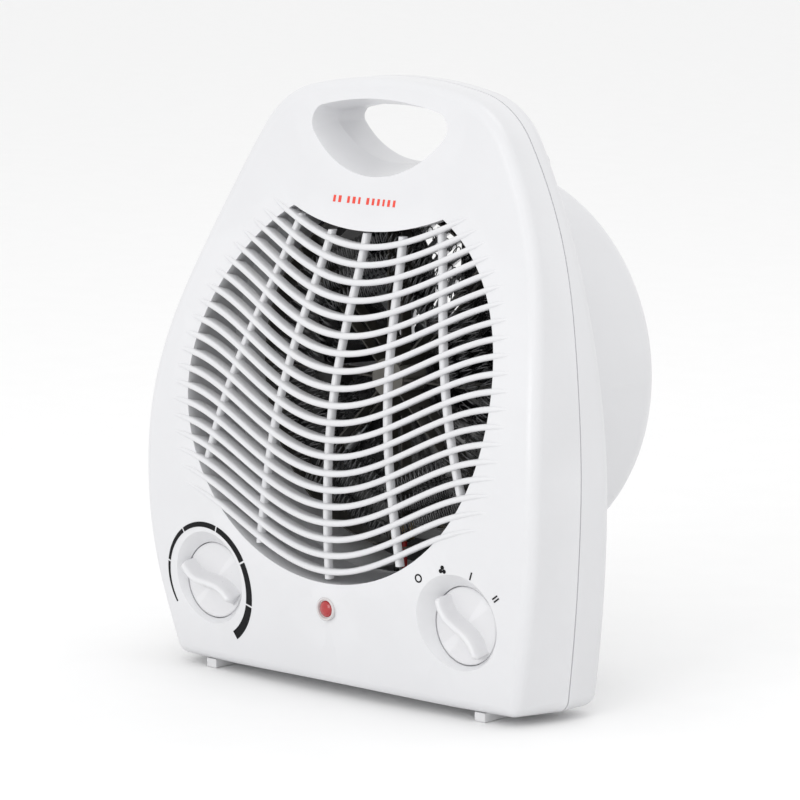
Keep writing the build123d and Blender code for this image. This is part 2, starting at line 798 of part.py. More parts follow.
def thermostat_body():
    """The thermostat case that carries the bimetal strip."""
    part = control_body(-dial_x, 26, 24, 27)
    return part + block((-dial_x - 8, -dial_x + 8), (27, 29), (dial_z - 9, dial_z - 5))


def thermostat_bimetal():
    """The bimetal strip that opens the contact."""
    x = -dial_x
    strip = block((x - 4, x + 4), (29, 29.8), (dial_z - 9, dial_z + 12))
    return strip + block((x - 2, x + 2), (28.2, 29), (dial_z + 8, dial_z + 11))


def indicator_lens():
    """The red lens in the face, domed in front, with a round lip."""
    face = -0.2
    stem = disc(lens_r, 0, lens_z, face, 7)
    dome = Pos(0, face + 5.4, lens_z) * Sphere(6.2)
    dome = dome & disc(lens_r, 0, lens_z, face - 3, face)
    return stem + dome - disc(2.4, 0, lens_z, 2.5, 8)


def lens_rim():
    """The pale ring pressed round the lens."""
    return ring(lens_r + 1.1, lens_r, 0, lens_z, -1.3, -0.3)


def neon_lamp():
    """The neon lamp behind the lens."""
    bulb = disc(2.1, 0, lens_z, 4, 14)
    return fillet(bulb.edges().group_by(Axis.Y)[0], 1.8)


def lamp_holder():
    """The sleeve that holds the neon lamp on the lens stem."""
    return ring(3.6, 2.1, 0, lens_z, 7, 16)


def terminal_block():
    """The block where the supply would be joined to the inner leads."""
    part = block((-18, 18), (32, 44), (case_base + wall, 24))
    for k in range(3):
        x = -11 + 11 * k
        part = part - disc(2.0, x, 15, 30, 46)
        part = part - Pos(x, 38, 20) * Cylinder(1.9, 12)
    return part


def terminal_screws():
    """The three clamping screws of the terminal block."""
    return Compound(children=[Pos(-11 + 11 * k, 38, 20) * Cylinder(1.9, 6) for k in range(3)])


def lead(points, radii):
    """A round insulated wire along straight runs joined by tangent arcs."""
    path = FilletPolyline(*points, radius=radii)
    start = Plane(origin=path @ 0, z_dir=path % 0)
    return sweep(start * Circle(lead_r), path=path)


def supply_lead():
    """From the terminal block to the first tab of the selector switch."""
    points = ((11, 44, 15), (11, 47, 17), (33, 47, 24), (54, 46.5, 28), (57, 45.5, dial_z), (57, 36, dial_z))
    return lead(points, (1.4, 8, 8, 3))


def neutral_lead():
    """From the terminal block to the contact of the thermostat."""
    points = ((-11, 44, 15), (-11, 47, 17), (-36, 47, 24), (-62, 44, 26), (-67.5, 40, 34), (-67.5, 39, 46),
              (-67.5, 29.8, 46))
    return lead(points, (1.4, 8, 8, 5, 3))


def low_heat_lead():
    """From the second tab of the selector switch up through the slot in the tunnel to the element."""
    points = ((64, 36, dial_z), (64, 41, dial_z), (52, 41, 43), (14, 41, 41), (1.6, 39.5, 43.5), (1.6, 39.5, 57))
    return lead(points, (2.5, 4, 8, 4))


def high_heat_lead():
    """From the third tab of the selector switch up through the slot in the tunnel to the element."""
    points = ((71, 36, dial_z), (71, 46.5, dial_z), (58, 47.2, 41), (14, 47.2, 41), (1.6, 44.5, 43.5), (1.6, 44.5, 57))
    return lead(points, (2.5, 6, 8, 4))


def shifted(piece):
    """Move a piece, or each solid of a group, from the working origin to the middle of the base."""
    solids = [Pos(0, -depth_centre, 0) * solid for solid in piece.solids()]
    if len(solids) == 1:
        return solids[0]
    return Compound(solids)


def build():
    """Every piece by name."""
    seam_space = behind_seam()
    shell = case_shell(seam_space)
    pieces = {
        "front_housing": front_housing(shell, seam_space),
        "rear_housing": rear_housing(shell, seam_space),
        "outlet_grille": outlet_grille(),
        "intake_grille": intake_grille(),
        "cord_inlet_bush": cord_inlet_bush(),
        "feet": feet(),
        "case_screws": case_screws(),
        "duct_screws": duct_screws(),
        "air_tunnel": air_tunnel(),
        "fan_shroud": fan_shroud(),
        "mica_cards": mica_cards(),
        "mica_band": mica_band(),
        "band_brackets": band_brackets(),
        "element_hub": element_hub(),
        "low_heat_wire": low_heat_wire(),
        "high_heat_wire": high_heat_wire(),
        "thermal_cutout": thermal_cutout(),
        "thermal_fuse": thermal_fuse(),
        "element_terminals": element_terminals(),
        "fan": fan(),
        "fan_clip": fan_clip(),
        "motor_shaft": motor_shaft(),
        "rotor": rotor(),
        "motor_core": motor_core(),
        "motor_bobbin": motor_bobbin(),
        "motor_winding": motor_winding(),
        "front_bracket": front_bracket(),
        "back_bracket": back_bracket(),
        "motor_bearings": bearings(),
        "motor_bolts": motor_bolts(),
        "thermostat_knob": thermostat_knob(),
        "selector_knob": selector_knob(),
        "thermostat_spindle": thermostat_spindle(),
        "selector_spindle": selector_spindle(),
        "rotary_switch": rotary_switch(),
        "thermostat_body": thermostat_body(),
        "thermostat_bimetal": thermostat_bimetal(),
        "indicator_lens": indicator_lens(),
        "lens_rim": lens_rim(),
        "neon_lamp": neon_lamp(),
        "lamp_holder": lamp_holder(),
        "terminal_block": terminal_block(),
        "terminal_screws": terminal_screws(),
        "supply_lead": supply_lead(),
        "neutral_lead": neutral_lead(),
        "low_heat_lead": low_heat_lead(),
        "high_heat_lead": high_heat_lead(),
    }
    return pieces


os.makedirs("parts", exist_ok=True)
for name, piece in build().items():
    export_step(shifted(piece), f"parts/{name}.step")
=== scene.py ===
import json
import math
import random

import bmesh
import bpy
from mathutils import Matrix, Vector


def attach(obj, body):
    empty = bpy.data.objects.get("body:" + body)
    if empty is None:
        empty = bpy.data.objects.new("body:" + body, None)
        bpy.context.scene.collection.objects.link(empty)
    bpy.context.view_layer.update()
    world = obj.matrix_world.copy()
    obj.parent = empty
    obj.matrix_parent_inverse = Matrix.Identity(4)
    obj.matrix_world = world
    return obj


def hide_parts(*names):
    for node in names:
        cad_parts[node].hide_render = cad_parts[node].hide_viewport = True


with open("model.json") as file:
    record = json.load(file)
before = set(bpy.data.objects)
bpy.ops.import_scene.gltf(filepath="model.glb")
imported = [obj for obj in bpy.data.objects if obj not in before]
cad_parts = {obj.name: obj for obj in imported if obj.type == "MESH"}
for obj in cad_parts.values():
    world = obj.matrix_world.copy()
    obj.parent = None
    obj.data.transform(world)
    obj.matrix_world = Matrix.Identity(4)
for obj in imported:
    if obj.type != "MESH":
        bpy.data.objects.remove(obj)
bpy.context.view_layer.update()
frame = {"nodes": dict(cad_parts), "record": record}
random.seed(11)

# The shapes are laid out in millimetres: x across, y back from the pilot light, z up from the floor.
# at() turns such a point into metres in the row frame.
DEPTH = 53.6  # how far the pilot light lies in front of the row frame's origin
AXIS_Z = 124.0  # height of the fan's axis
# (depth, height) down the middle of the front face, lowest point first
FACE = [(5.0, -4.0), (4.2, 6), (-0.4, 40), (-2.2, 76), (0.8, 116), (8.5, 146), (19, 176), (24.8, 196),
        (33, 243.4), (34.2, 252)]
CROWN = 4.6  # how far the face falls back at 100 mm from its middle


def at(x, y, z):
    return Vector((x / 1000, (y - DEPTH) / 1000, z / 1000))


def spline_bends(points):
    """Second derivatives of a natural cubic spline of depth over height."""
    n = len(points)
    a = [0.0] * n
    b = [1.0] * n
    c = [0.0] * n
    d = [0.0] * n
    for i in range(1, n - 1):
        h0 = points[i][1] - points[i - 1][1]
        h1 = points[i + 1][1] - points[i][1]
        a[i] = h0
        b[i] = 2 * (h0 + h1)
        c[i] = h1
        d[i] = 6 * ((points[i + 1][0] - points[i][0]) / h1 - (points[i][0] - points[i - 1][0]) / h0)
    for i in range(1, n):
        m = a[i] / b[i - 1]
        b[i] -= m * c[i - 1]
        d[i] -= m * d[i - 1]
    bends = [0.0] * n
    bends[-1] = d[-1] / b[-1]
    for i in range(n - 2, -1, -1):
        bends[i] = (d[i] - c[i] * bends[i + 1]) / b[i]
    return bends


BENDS = spline_bends(FACE)


def face_y(x, z):
    """Depth of the front face at a point seen from the front."""
    i = 0
    while i < len(FACE) - 2 and z > FACE[i + 1][1]:
        i += 1
    (y0, z0), (y1, z1) = FACE[i], FACE[i + 1]
    h = z1 - z0
    p = (z1 - z) / h
    q = (z - z0) / h
    bend = ((p ** 3 - p) * BENDS[i] + (q ** 3 - q) * BENDS[i + 1]) * h * h / 6
    return p * y0 + q * y1 + bend + CROWN * (x / 100) ** 2


# ---------------------------------------------------------------- materials
MIX_FACTOR, MIX_A, MIX_B, MIX_COLOUR = 0, 6, 7, 2  # the colour sockets of a Mix node


def set_ramp(ramp, low, low_colour, high, high_colour):
    """A two-stop colour ramp."""
    for stop, place, colour in zip(ramp.color_ramp.elements, (low, high), (low_colour, high_colour)):
        stop.position = place
        stop.color = (*colour, 1)


def material(name, colour, rough, metallic=0.0, spec=0.5, coat=0.0, vary=0.03, grain=900.0, bump=0.02,
             brushed=None, transmission=0.0, wear=0.0):
    """A procedural finish: cloudy colour, uneven roughness, fine bump and paler worn edges."""
    mat = bpy.data.materials.new(name)
    mat.use_nodes = True
    nodes = mat.node_tree.nodes
    link = mat.node_tree.links.new
    nodes.clear()
    out = nodes.new("ShaderNodeOutputMaterial")
    shader = nodes.new("ShaderNodeBsdfPrincipled")
    link(shader.outputs["BSDF"], out.inputs["Surface"])
    shader.inputs["Metallic"].default_value = metallic
    shader.inputs["Specular IOR Level"].default_value = spec
    shader.inputs["Coat Weight"].default_value = coat
    shader.inputs["Coat Roughness"].default_value = 0.12
    shader.inputs["Transmission Weight"].default_value = transmission
    coords = nodes.new("ShaderNodeTexCoord")
    spread = nodes.new("ShaderNodeMapping")
    if brushed:
        spread.inputs["Scale"].default_value = brushed
    link(coords.outputs["Object"], spread.inputs["Vector"])
    cloud = nodes.new("ShaderNodeTexNoise")
    cloud.inputs["Scale"].default_value = 38.0
    cloud.inputs["Detail"].default_value = 4.0
    link(coords.outputs["Object"], cloud.inputs["Vector"])
    ramp = nodes.new("ShaderNodeValToRGB")
    set_ramp(ramp, 0.35, [max(0.0, v * (1 - vary)) for v in colour],
             0.65, [min(1.0, v * (1 + vary)) for v in colour])
    link(cloud.outputs["Fac"], ramp.inputs["Fac"])
    colour_out = ramp.outputs["Color"]
    if wear:
        geometry = nodes.new("ShaderNodeNewGeometry")
        edge = nodes.new("ShaderNodeValToRGB")
        set_ramp(edge, 0.52, (0, 0, 0), 0.62, (wear, wear, wear))
        link(geometry.outputs["Pointiness"], edge.inputs["Fac"])
        mix = nodes.new("ShaderNodeMix")
        mix.data_type = "RGBA"
        mix.inputs[MIX_B].default_value = (*[min(1.0, v * 1.12 + 0.05) for v in colour], 1)
        link(edge.outputs["Color"], mix.inputs[MIX_FACTOR])
        link(colour_out, mix.inputs[MIX_A])
        colour_out = mix.outputs[MIX_COLOUR]
    link(colour_out, shader.inputs["Base Color"])
    fine = nodes.new("ShaderNodeTexNoise")
    fine.inputs["Scale"].default_value = grain
    fine.inputs["Detail"].default_value = 3.0
    link(spread.outputs["Vector"], fine.inputs["Vector"])
    rough_map = nodes.new("ShaderNodeMapRange")
    rough_map.inputs["To Min"].default_value = max(0.02, rough - 0.06)
    rough_map.inputs["To Max"].default_value = min(1.0, rough + 0.06)
    link(fine.outputs["Fac"], rough_map.inputs["Value"])
    link(rough_map.outputs["Result"], shader.inputs["Roughness"])
    relief = nodes.new("ShaderNodeBump")
    relief.inputs["Strength"].default_value = bump
    relief.inputs["Distance"].default_value = 0.0004
    link(fine.outputs["Fac"], relief.inputs["Height"])
    link(relief.outputs["Normal"], shader.inputs["Normal"])
    return mat


# Each slot's colour, roughness and what else differs from a plain finish
PLASTIC_BLACK = ((0.03, 0.03, 0.03), 0.5, dict(vary=0.1, bump=0.1, wear=0.3))
FINISHES = {
    "shell_white": ((0.68, 0.682, 0.697), 0.34, dict(coat=0.12, vary=0.008, bump=0.03, wear=0.3)),
    "grille_white": ((0.69, 0.692, 0.707), 0.32, dict(coat=0.12, vary=0.008, bump=0.02)),
    "knob_white": ((0.69, 0.69, 0.705), 0.30, dict(coat=0.15, vary=0.008, bump=0.02, wear=0.3)),
    "rim_white": ((0.60, 0.58, 0.58), 0.25, dict(coat=0.2, vary=0.01)),
    # painted light: the tunnel's white plastic is given a paler colour than the shell's to lift the shade
    # inside the outlet
    "tunnel_white": ((0.86, 0.86, 0.875), 0.45, dict(vary=0.02, bump=0.05)),
    "bobbin_white": ((0.75, 0.75, 0.70), 0.5, dict(vary=0.02, bump=0.05)),
    "block_cream": ((0.72, 0.69, 0.60), 0.5, dict(vary=0.03, bump=0.05, wear=0.3)),
    "grey_rubber": ((0.62, 0.62, 0.62), 0.7, dict(vary=0.04, bump=0.15)),
    "foot_rubber": ((0.66, 0.66, 0.67), 0.65, dict(vary=0.03, bump=0.15)),
    "duct_black": ((0.012, 0.012, 0.013), 0.42, dict(vary=0.2, bump=0.08, wear=0.2)),
    "fan_black": ((0.010, 0.010, 0.011), 0.16, dict(coat=0.5, vary=0.15, bump=0.02)),
    "cutout_black": PLASTIC_BLACK,
    "switch_black": PLASTIC_BLACK,
    "spindle_black": PLASTIC_BLACK,
    # painted shade: the mica cards are coloured near black, far darker than mica, to stand for the shade
    # deep inside the heater
    "mica": ((0.045, 0.04, 0.032), 0.35, dict(vary=0.18, grain=300, bump=0.2, wear=0.4)),
    # painted shade: the white ceramic hub is coloured dark grey to stand for the shade at the heater's
    # centre
    "ceramic_white": ((0.20, 0.19, 0.17), 0.55, dict(vary=0.03, bump=0.15, wear=0.3)),
    "heating_wire": ((0.20, 0.20, 0.205), 0.36, dict(metallic=1.0, vary=0.15, bump=0.1)),
    "zinc_steel": ((0.60, 0.61, 0.62), 0.33, dict(metallic=1.0, vary=0.08, bump=0.15, wear=0.4)),
    "screw_steel": ((0.52, 0.53, 0.54), 0.3, dict(metallic=1.0, vary=0.08, bump=0.1, wear=0.4)),
    "spring_steel": ((0.28, 0.28, 0.29), 0.35, dict(metallic=1.0, vary=0.1, bump=0.1)),
    "shaft_steel": ((0.62, 0.62, 0.63), 0.2, dict(metallic=1.0, vary=0.05, bump=0.1)),
    "core_steel": ((0.24, 0.25, 0.27), 0.45, dict(metallic=1.0, vary=0.12, grain=500, bump=0.5,
                                                  brushed=(0.02, 4.0, 0.02), wear=0.3)),
    "rotor_aluminium": ((0.5, 0.5, 0.51), 0.4, dict(metallic=1.0, vary=0.08, bump=0.3)),
    "bearing_bronze": ((0.42, 0.28, 0.13), 0.45, dict(metallic=1.0, vary=0.12, bump=0.3)),
    "terminal_brass": ((0.62, 0.47, 0.20), 0.3, dict(metallic=1.0, vary=0.1, bump=0.1)),
    "winding_tape": ((0.55, 0.38, 0.05), 0.35, dict(vary=0.1, bump=0.2, wear=0.2)),
    "lens_red": ((0.36, 0.008, 0.011), 0.09, dict(coat=0.8, vary=0.08)),
    "lamp_glass": ((0.9, 0.75, 0.6), 0.08, dict(transmission=0.9, vary=0.03, bump=0.01)),
    "lead_brown": ((0.14, 0.06, 0.03), 0.4, dict(vary=0.08, bump=0.08)),
    "lead_blue": ((0.03, 0.08, 0.32), 0.4, dict(vary=0.08, bump=0.08)),
    "lead_black": ((0.02, 0.02, 0.02), 0.4, dict(vary=0.08, bump=0.08)),
    "lead_red": ((0.38, 0.02, 0.02), 0.4, dict(vary=0.08, bump=0.08)),
}
MATS = {name: material(name, colour, rough, **more) for name, (colour, rough, more) in FINISHES.items()}
PRINT_BLACK = material("print_black", (0.006, 0.006, 0.007), 0.6, spec=0.15, vary=0.1, bump=0.02)
PRINT_RED = material("print_red", (0.75, 0.06, 0.035), 0.45, vary=0.05, bump=0.02)

slots = {part["node"]: part["material_slot"] for part in frame["record"]["subparts"]}
for node, obj in frame["nodes"].items():
    obj.data.materials.clear()
    obj.data.materials.append(MATS[slots[node]])


# ---------------------------------------------------------------- mesh helpers
def add(name, data):
    """A new object in the scene."""
    obj = bpy.data.objects.new(name, data)
    bpy.context.scene.collection.objects.link(obj)
    return obj


def build(name, verts, faces, mat, body, slot, smooth_angle=40.0):
    """A mesh object that rides on a body, smooth-shaded below an angle."""
    mesh = bpy.data.meshes.new(name)
    mesh.from_pydata([tuple(v) for v in verts], [], faces)
    mesh.validate()
    bm = bmesh.new()
    bm.from_mesh(mesh)
    bmesh.ops.recalc_face_normals(bm, faces=bm.faces)
    bm.to_mesh(mesh)
    bm.free()
    obj = add(name, mesh)
    mesh.materials.append(mat)
    mesh.shade_smooth()
    mesh.set_sharp_from_angle(angle=math.radians(smooth_angle))
    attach(obj, body)
    return obj


def tube_mesh(rings):
    """Vertices and faces of a skin over rings of equal length, closed at both ends."""
    verts = []
    faces = []
    n = len(rings[0])
    for ring in rings:
        verts.extend(ring)
    for i in range(len(rings) - 1):
        for k in range(n):
            a = i * n + k
            b = i * n + (k + 1) % n
            faces.append((a, b, b + n, a + n))
    faces.append(tuple(range(n)))
    faces.append(tuple((len(rings) - 1) * n + k for k in range(n)))
    return verts, faces


def join(parts):
    """One vertex and face list from several."""
    verts = []
    faces = []
    for v, f in parts:
        base = len(verts)
        verts.extend(v)
        faces.extend([tuple(i + base for i in face) for face in f])
    return verts, faces


def circle(r, steps):
    """Points (x, z) round the origin."""
    return [(r * math.cos(2 * math.pi * k / steps), r * math.sin(2 * math.pi * k / steps))
            for k in range(steps)]


def revolved(cx, cz, profile, steps=64):
    """A (radius, depth) profile turned about an axis that runs straight back."""
    return tube_mesh([[at(cx + x, y, cz + z) for x, z in circle(r, steps)] for r, y in profile])


# ---------------------------------------------------------------- outlet grille
COUNT = 20
FIRST = 51.4  # height of the lowest slat, in its middle
PITCH = 6.465  # from the lowest slat to the next
SPREAD = 0.0103  # how much the pitch grows with each slat
WAVE, WAVE_GROWTH = 28.0, 4.5  # width scale of a slat's wave, and what the top slat adds to it
RISE, RISE_GROWTH = 13.4, 1.2  # height scale of the wave, and what the top slat adds to it
HALF_X = 80.0  # the outlet's half width
HALF_Z = 77.5  # the outlet's half height
TAIL_OVAL = (89.5, 97.0, 116.0)  # half width, half height and centre height of the oval the tails reach

SLAT_HALF = 1.3  # half a slat's thickness
SLAT_FRONT = -0.95  # a slat's nose, measured back from the face
SLAT_BACK = 4.6  # a slat's back inside the outlet
TAIL_BACK = 1.0  # the same where the slat runs over the face
TAIL_BLEND = 2.5  # the last stretch before the tail, where the back thins
SLAT_STEPS = 56  # from the middle of a slat to the outlet's edge
TAIL_STEPS = 14
NOSE_STEPS = 8

RIB_ANGLES = (-17.1, -8.5, 0.0, 8.5, 17.1)
RIB_MEET_Z = 308.5  # height where the ribs' lines would meet
RIB_LOW, RIB_HIGH = 45.5, 190.5
RIB_STEPS = 59
RIB_HALF = 1.35
RIB_GAP = 0.2  # between a rib's end and the outlet's edge
SMILE_Z, SMILE_R = 294.0, 110.2  # the arc that closes the outlet at the top


def slat_z(index, x):
    """Height of a slat: lowest in the middle, rising, then levelling out at the sides."""
    share = (index / (COUNT - 1)) ** 3
    wave = WAVE + WAVE_GROWTH * share
    rise = RISE + RISE_GROWTH * share
    return FIRST + PITCH * index + SPREAD * index ** 2 + rise * (1 - math.cos(x / wave))


def slat_reach(index, half_x, half_z, centre_z):
    """How far a slat runs sideways before it crosses an oval."""
    x = 0.0
    while (x / half_x) ** 2 + ((slat_z(index, x) - centre_z) / half_z) ** 2 < 1:
        x += 0.1
    return x


def slat_section(x, z, front, back, half):
    """A slat's cross-section: a rounded nose in front and a blunt back."""
    y = face_y(x, z)
    ring = []
    for k in range(NOSE_STEPS + 1):
        a = math.pi * k / NOSE_STEPS
        ring.append(at(x, y + front + 1.1 * half * (1 - math.sin(a)), z - half * math.cos(a)))
    ring.append(at(x, y + back, z + half * 0.72))
    ring.append(at(x, y + back, z - half * 0.72))
    return ring


def slats():
    """Wavy slats whose thinning tails run out over the face."""
    parts = []
    for index in range(COUNT):
        reach = slat_reach(index, HALF_X, HALF_Z, AXIS_Z)
        tail = slat_reach(index, *TAIL_OVAL) - reach
        xs = [reach * k / SLAT_STEPS for k in range(-SLAT_STEPS, SLAT_STEPS + 1)]
        for k in range(1, TAIL_STEPS + 1):
            xs.append(reach + tail * k / TAIL_STEPS)
            xs.insert(0, -reach - tail * k / TAIL_STEPS)
        rings = []
        for x in xs:
            over = max(0.0, (abs(x) - reach) / tail)
            entry = max(0.0, min(1.0, (abs(x) - reach + TAIL_BLEND) / TAIL_BLEND))
            half = SLAT_HALF * (1 - 0.55 * over ** 1.6)
            front = SLAT_FRONT + 1.2 * over ** 1.5
            back = SLAT_BACK - (SLAT_BACK - TAIL_BACK) * entry if over == 0 else TAIL_BACK
            rings.append(slat_section(x, slat_z(index, x), front, back, half))
        parts.append(tube_mesh(rings))
    return join(parts)


def ribs():
    """Spreading ribs behind the slats' noses, from edge to edge of the outlet."""
    section = [(-1, 2.0), (-0.6, 1.4), (0, 1.2), (0.6, 1.4), (1, 2.0), (1, 4.3), (-1, 4.3)]
    parts = []
    for angle in RIB_ANGLES:
        rings = []
        for k in range(RIB_STEPS + 1):
            z = RIB_LOW + (RIB_HIGH - RIB_LOW) * k / RIB_STEPS
            x = (RIB_MEET_Z - z) * math.tan(math.radians(angle))
            inside = (x / (HALF_X - RIB_GAP)) ** 2 + ((z - AXIS_Z) / (HALF_Z - RIB_GAP)) ** 2 < 1
            under_smile = x ** 2 + (z - SMILE_Z) ** 2 > SMILE_R ** 2
            if inside and under_smile:
                y = face_y(x, z)
                rings.append([at(x + RIB_HALF * side, y + back, z) for side, back in section])
        parts.append(tube_mesh(rings))
    return join(parts)


grille_slats = build("grille_slats", *slats(), MATS["grille_white"], "case", "grille_white", 50)
build("grille_ribs", *ribs(), MATS["grille_white"], "case", "grille_white", 50)
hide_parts("outlet_grille")

# ---------------------------------------------------------------- heating wires
CARDS = 8  # the cards that a wire passes in one turn
COIL_POINTS = 8  # points in one wave of the coil
COIL_DEEP = 1.4  # half the coil's size along the fan's axis
COIL_PERIOD = 2.4
WIRE_RADIUS = 0.00026  # metres


def coiled(points, radius_across, radius_deep, period):
    """A wire wound into a slack coil along straight runs from card to card."""
    out = []
    for (x0, z0), (x1, z1) in zip(points, points[1:]):
        length = math.hypot(x1 - x0, z1 - z0)
        across_x = (z1 - z0) / length
        across_z = -(x1 - x0) / length
        waves = max(2, round(length / period))
        sag = 0.8 * random.uniform(0.3, 1.0)
        for k in range(waves * COIL_POINTS):
            t = k / (waves * COIL_POINTS)
            turn = 2 * math.pi * k / COIL_POINTS
            across = radius_across * math.sin(turn) * random.uniform(0.94, 1.06)
            out.append((x0 + (x1 - x0) * t + across_x * across, radius_deep * math.cos(turn),
                        z0 + (z1 - z0) * t + across_z * across - sag * math.sin(math.pi * t)))
    return out


def wire(name, first, pitch, turns, y, start, across, node):
    """A coiled wire laid in a spiral round the fan's axis, in place of a CAD node."""
    points = []
    for k in range(turns * CARDS + 1):
        a = math.radians(360 / CARDS * k + start)
        radius = first + pitch * k / CARDS
        points.append((radius * math.cos(a), AXIS_Z + radius * math.sin(a)))
    path = coiled(points, across, COIL_DEEP, COIL_PERIOD)
    curve = bpy.data.curves.new(name, "CURVE")
    curve.dimensions = "3D"
    curve.bevel_depth = WIRE_RADIUS
    curve.bevel_resolution = 1
    curve.use_fill_caps = True
    spline = curve.splines.new("POLY")
    spline.points.add(len(path) - 1)
    for point, (x, dy, z) in zip(spline.points, path):
        point.co = (*at(x, y + dy, z), 1)
    obj = add(name, curve)
    curve.materials.append(MATS["heating_wire"])
    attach(obj, "case")
    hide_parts(node)


wire("low_heat_coil", 37, 9.0, 3, 34.7, 0, 3.7, "low_heat_wire")
wire("high_heat_coil", 37, 9.0, 3, 51.8, 180, 2.0, "high_heat_wire")

# ---------------------------------------------------------------- fan
BLADES = 7
BLADE_ROOT, BLADE_TIP = 14.0, 64.2  # radii
BLADE_Y = 65.2  # depth of a blade's middle
BLADE_HALF_ANGLE = 21.5
BLADE_SWEEP = 14  # how many degrees the tip runs ahead of the root
RADIAL_STEPS = 16
CHORD_STEPS = 12
HUB = [(0.1, 58.2), (9, 58.2), (12.5, 59.0), (14.4, 60.6), (15, 63), (15, 72.6), (14.2, 73), (4, 73),
       (4, 74), (0.1, 74)]


def blade(base):
    """One swept, cambered blade that starts at an angle round the axis."""
    rings = []
    for i in range(RADIAL_STEPS + 1):
        u = i / RADIAL_STEPS
        r = BLADE_ROOT + (BLADE_TIP - BLADE_ROOT) * u
        belly = math.sin(math.pi * min(1.0, u * 1.05)) * (1 - 0.25 * u)
        half_angle = math.radians(BLADE_HALF_ANGLE) * (0.82 + 0.30 * belly)
        sweep = math.radians(BLADE_SWEEP) * u * u
        pitch = 6.6 - 1.4 * u
        front = []
        back = []
        for k in range(CHORD_STEPS + 1):
            s = -1 + 2 * k / CHORD_STEPS
            camber = 0.9 * (1 - s * s)
            a = base + sweep + s * half_angle
            y = BLADE_Y + pitch * s - camber
            thick = 0.75 * math.sqrt(max(0.0, 1 - s ** 6)) + 0.12
            x = r * math.cos(a)
            z = AXIS_Z + r * math.sin(a)
            front.append(at(x, y - thick, z))
            back.append(at(x, y + thick, z))
        rings.append(front + back[::-1])
    return tube_mesh(rings)


fan_parts = [blade(2 * math.pi * b / BLADES) for b in range(BLADES)] + [revolved(0, AXIS_Z, HUB)]
fan = build("fan_blades", *join(fan_parts), MATS["fan_black"], "fan_rotor", "fan_black", 40)
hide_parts("fan")

# ---------------------------------------------------------------- dials
DIAL_X = 67.5
DIAL_Z = 37.6
DISC_Y = 6.3  # depth of a disc's front
DISC = [(0.05, DISC_Y), (14.2, DISC_Y), (14.9, 6.42), (15.3, 6.75), (15.42, 7.2), (15.42, 8.5),
        (15.0, 8.6), (0.05, 8.6)]
GRIP_STEPS = 72
GRIP_REACH = 14.7  # from the dial's centre to a grip's end
GRIP_LIMIT = 14.75  # no part of a grip lies farther out
GRIP_HEIGHT = 7.1
GRIP_BOW = 15.2 * 0.125  # how far a grip swings to each side
GRIP_TURN = math.pi * 0.98  # how much of a full S it makes
# (across, height) over a grip, from its broad foot to its steep side
GRIP_SECTION = [(-4.6, -0.3), (-4.0, 0.25), (-2.9, 1.5), (-2.1, 3.6), (-1.65, 5.6), (-1.2, 6.7),
                (-0.5, GRIP_HEIGHT), (0.3, GRIP_HEIGHT), (0.85, 6.75), (1.2, 5.9), (1.5, 3.8), (1.85, 1.6),
                (2.3, 0.35), (2.6, -0.3)]


def knob_mesh(cx, turn):
    """A disc with a rounded edge and an S-shaped ridge that leans from a broad foot to a slim crest."""
    parts = [tube_mesh([[(x, y, z) for x, z in circle(r, 96)] for r, y in DISC])]
    rings = []
    for i in range(GRIP_STEPS + 1):
        t = -1 + 2 * i / GRIP_STEPS
        centre = -GRIP_BOW * math.sin(GRIP_TURN * t)
        slope = -GRIP_BOW * GRIP_TURN * math.cos(GRIP_TURN * t) / GRIP_REACH
        length = math.hypot(1.0, slope)
        nx, nz = 1 / length, -slope / length
        end = max(0.0, (abs(t) - 0.90) / 0.10)
        height = (1 - 0.10 * abs(t) ** 3) * math.sqrt(max(0.0, 1 - 0.55 * end * end))
        ring = []
        for across, up in GRIP_SECTION:
            x = centre + across * nx
            z = GRIP_REACH * t + across * nz
            radius = math.hypot(x, z)
            if radius > GRIP_LIMIT:
                x *= GRIP_LIMIT / radius
                z *= GRIP_LIMIT / radius
            ring.append((x, DISC_Y - up * height if up > 0 else DISC_Y - up, z))
        rings.append(ring)
    parts.append(tube_mesh(rings))
    verts, faces = join(parts)
    a = math.radians(turn)
    turned = [at(cx + x * math.cos(a) + z * math.sin(a), y, DIAL_Z - x * math.sin(a) + z * math.cos(a))
              for x, y, z in verts]
    return turned, faces


left_dial = build("thermostat_dial_cap", *knob_mesh(-DIAL_X, -64), MATS["knob_white"], "thermostat_dial",
                  "knob_white", 46)
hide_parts("thermostat_knob")
right_dial = build("selector_dial_cap", *knob_mesh(DIAL_X, -42), MATS["knob_white"], "selector_dial",
                   "knob_white", 46)
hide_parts("selector_knob")

# ---------------------------------------------------------------- printed marks
PRINT_PROUD = 0.10
PRINT_SUNK = 0.15
# The thermostat's arc: inner radius, width at its thin end, added width, and the degrees of its gaps
ARC_R, ARC_THIN, ARC_GROWTH = 22.7, 0.85, 2.9
ARC_CUTS = [210, 165.6, 123, 73, 27, -16, -58]
ARC_HALF_GAP = 0.9
# The selector's signs, as distance from the dial's centre and degrees
RING_AT = (25.2, 136.5)
FAN_AT = (23.0, 105.9)
ONE_BAR_AT = (22.6, 71.0)
TWO_BARS_AT = (23.4, 36.4)
DASH_Z = 195.5
DASH_HEIGHT = 2.6
DASH_START = -19.2
DASH_GAP = 1.55
WORD_GAP = 1.7
DASHES = (1.3, 1.5, 0.0, 1.3, 1.5, 1.1, 0.0, 1.4, 1.2, 1.3, 1.0, 1.3, 1.2)  # widths; 0 is a wider gap


